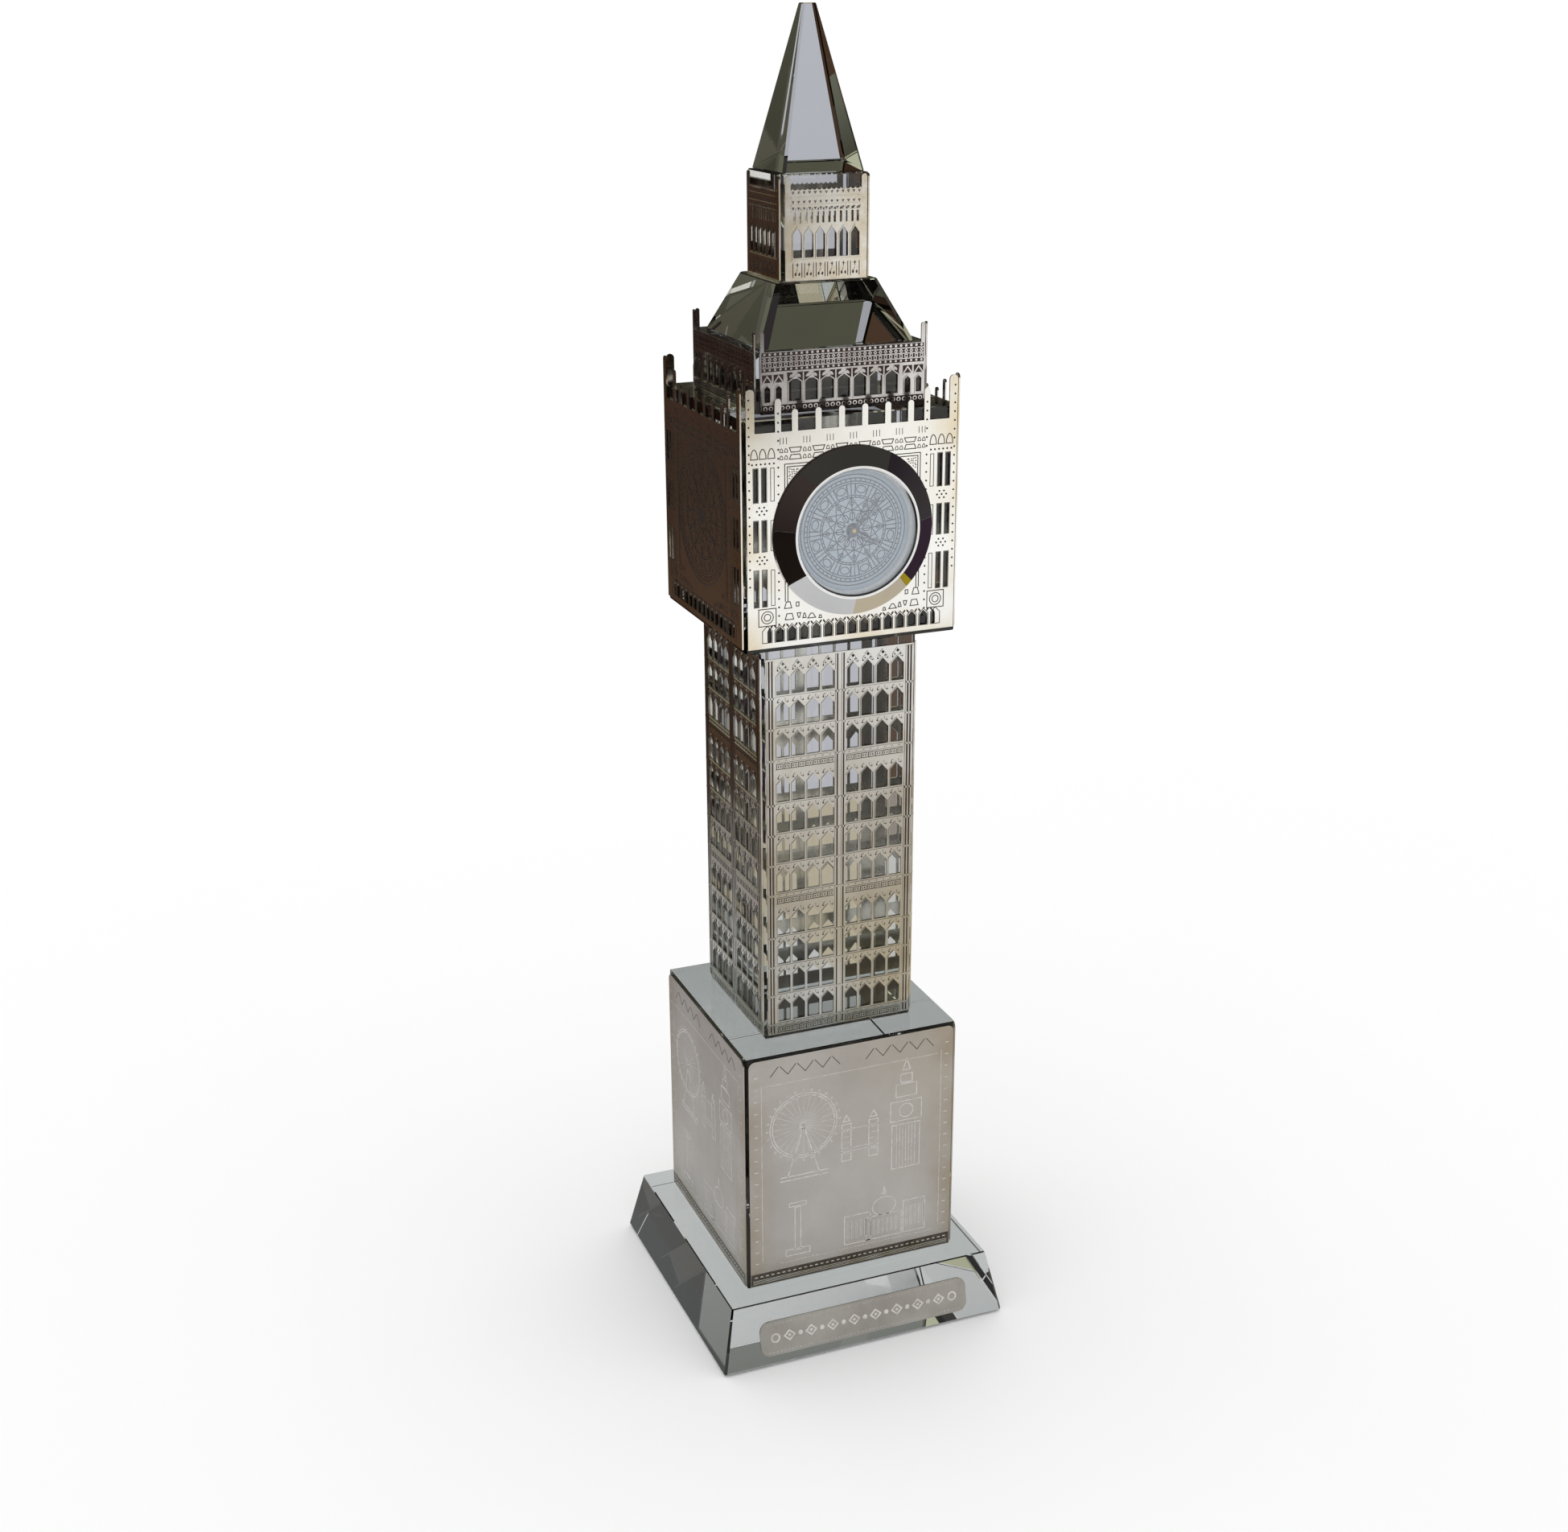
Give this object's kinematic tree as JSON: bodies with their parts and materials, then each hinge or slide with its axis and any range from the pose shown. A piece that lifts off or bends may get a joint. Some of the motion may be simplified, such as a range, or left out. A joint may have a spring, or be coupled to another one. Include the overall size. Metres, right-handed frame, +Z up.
{
  "type": "crystal clock tower model",
  "caption": "Tower of bonded glass blocks with pierced metal face plates, a plaque on the foot and a small round quartz clock pressed into the front.",
  "frame": {"origin": "centre of the foot's resting face, on the surface the tower stands on", "axes": "+Z up along the tower, the clock faces -Y, +X to the right seen from the front"},
  "size_m": [0.073, 0.073, 0.3054],
  "materials": {
    "crystal_glass": "polished optical glass, bevelled edges",
    "plaque_satin": "satin metal with fine printed ornament",
    "plate_pedestal": "satin etched nickel silver, warm grey",
    "plate_shaft": "etched and polished nickel silver",
    "plate_clock": "etched nickel silver, bright, creamy edges",
    "plate_belfry": "etched nickel silver, darkened recesses",
    "plate_lantern": "etched nickel silver, creamy tarnish",
    "bezel_chrome": "polished chrome plate on brass",
    "lens_ring_metal": "polished bright ring",
    "lens_mineral": "clear flat lens",
    "gasket_nylon": "moulded white nylon",
    "dial_silver": "silver-grey lacquer with a printed pattern",
    "hand_grey": "dark grey enamel",
    "cup_plastic": "moulded black ABS",
    "friction_rubber": "moulded ribbed rubber",
    "holder_plastic": "moulded natural acetal",
    "brass_plate": "lacquered brass",
    "nickel_steel": "stamped and nickel plated steel",
    "board_green": "green solder resist on laminate",
    "can_steel": "drawn bright steel",
    "copper_wire": "enamelled fine copper wire",
    "wheel_brass": "cut and polished brass",
    "rotor_magnet": "sintered magnet on a steel arbor"
  },
  "bodies": {
    "tower": {"plinth_glass": "crystal_glass", "pedestal_block": "crystal_glass", "shaft_block": "crystal_glass", "clock_block": "crystal_glass", "belfry_block": "crystal_glass", "roof_glass": "crystal_glass", "lantern_block": "crystal_glass", "spire_glass": "crystal_glass", "name_plaque": "plaque_satin", "pedestal_plate_front": "plate_pedestal", "pedestal_plate_right": "plate_pedestal", "pedestal_plate_back": "plate_pedestal", "pedestal_plate_left": "plate_pedestal", "shaft_plate_front": "plate_shaft", "shaft_plate_right": "plate_shaft", "shaft_plate_back": "plate_shaft", "shaft_plate_left": "plate_shaft", "clock_plate_front": "plate_clock", "clock_plate_right": "plate_clock", "clock_plate_back": "plate_clock", "clock_plate_left": "plate_clock", "belfry_plate_front": "plate_belfry", "belfry_plate_right": "plate_belfry", "belfry_plate_back": "plate_belfry", "belfry_plate_left": "plate_belfry", "lantern_plate_front": "plate_lantern", "lantern_plate_right": "plate_lantern", "lantern_plate_back": "plate_lantern", "lantern_plate_left": "plate_lantern"},
    "clock_insert": {"bezel": "bezel_chrome", "lens_ring": "lens_ring_metal", "lens": "lens_mineral", "lens_gasket": "gasket_nylon", "dial": "dial_silver", "movement_cup": "cup_plastic", "friction_ring": "friction_rubber", "movement_holder": "holder_plastic", "main_plate": "brass_plate", "train_bridge": "nickel_steel", "bridge_screws": "nickel_steel", "circuit_board": "board_green", "quartz_can": "can_steel", "coil_core": "nickel_steel", "coil_winding": "copper_wire", "stator": "nickel_steel", "battery": "can_steel", "battery_contact": "brass_plate", "back_cover": "cup_plastic"},
    "minute_arbor": {"centre_wheel": "wheel_brass", "minute_hand": "hand_grey"},
    "hour_arbor": {"hour_wheel": "wheel_brass", "hour_hand": "hand_grey"},
    "motion_wheel": {"minute_wheel": "wheel_brass"},
    "third_arbor": {"third_wheel": "wheel_brass"},
    "intermediate_arbor": {"intermediate_wheel": "wheel_brass"},
    "rotor_arbor": {"rotor": "rotor_magnet"},
    "lever": {"setting_lever": "nickel_steel"},
    "crown": {"setting_stem": "nickel_steel", "setting_crown": "can_steel"}
  },
  "joints": [
    {"name": "clock_pull", "type": "slide", "parent": "tower", "child": "clock_insert", "axis": [0, -1, 0], "range_m": [0, 0.014]},
    {"name": "minute_turn", "type": "hinge", "parent": "clock_insert", "child": "minute_arbor", "pos_m": [0, -0.0254, 0.1984], "axis": [0, 1, 0], "continuous": true},
    {"name": "hour_turn", "type": "hinge", "parent": "clock_insert", "child": "hour_arbor", "pos_m": [0, -0.0254, 0.1984], "axis": [0, 1, 0], "continuous": true},
    {"name": "motion_wheel_turn", "type": "hinge", "parent": "clock_insert", "child": "motion_wheel", "pos_m": [0, -0.0254, 0.196], "axis": [0, 1, 0], "continuous": true},
    {"name": "third_wheel_turn", "type": "hinge", "parent": "clock_insert", "child": "third_arbor", "pos_m": [0.00116, -0.0254, 0.20159], "axis": [0, 1, 0], "continuous": true},
    {"name": "intermediate_wheel_turn", "type": "hinge", "parent": "clock_insert", "child": "intermediate_arbor", "pos_m": [0.00313, -0.0254, 0.20194], "axis": [0, 1, 0], "continuous": true},
    {"name": "rotor_turn", "type": "hinge", "parent": "clock_insert", "child": "rotor_arbor", "pos_m": [0.00416, -0.0254, 0.20072], "axis": [0, 1, 0], "continuous": true},
    {"name": "crown_pull", "type": "slide", "parent": "clock_insert", "child": "lever", "axis": [1, 0, 0], "range_m": [0, 0.0008]},
    {"name": "crown_turn", "type": "hinge", "parent": "lever", "child": "crown", "pos_m": [0.01, -0.0224, 0.1984], "axis": [1, 0, 0], "continuous": true}
  ],
  "couplings": [
    {"joint": "hour_turn", "follows": "minute_turn", "ratio": 0.083333},
    {"joint": "motion_wheel_turn", "follows": "minute_turn", "ratio": -0.33333},
    {"joint": "third_wheel_turn", "follows": "minute_turn", "ratio": -7.5},
    {"joint": "intermediate_wheel_turn", "follows": "minute_turn", "ratio": 30},
    {"joint": "rotor_turn", "follows": "minute_turn", "ratio": -90}
  ]
}
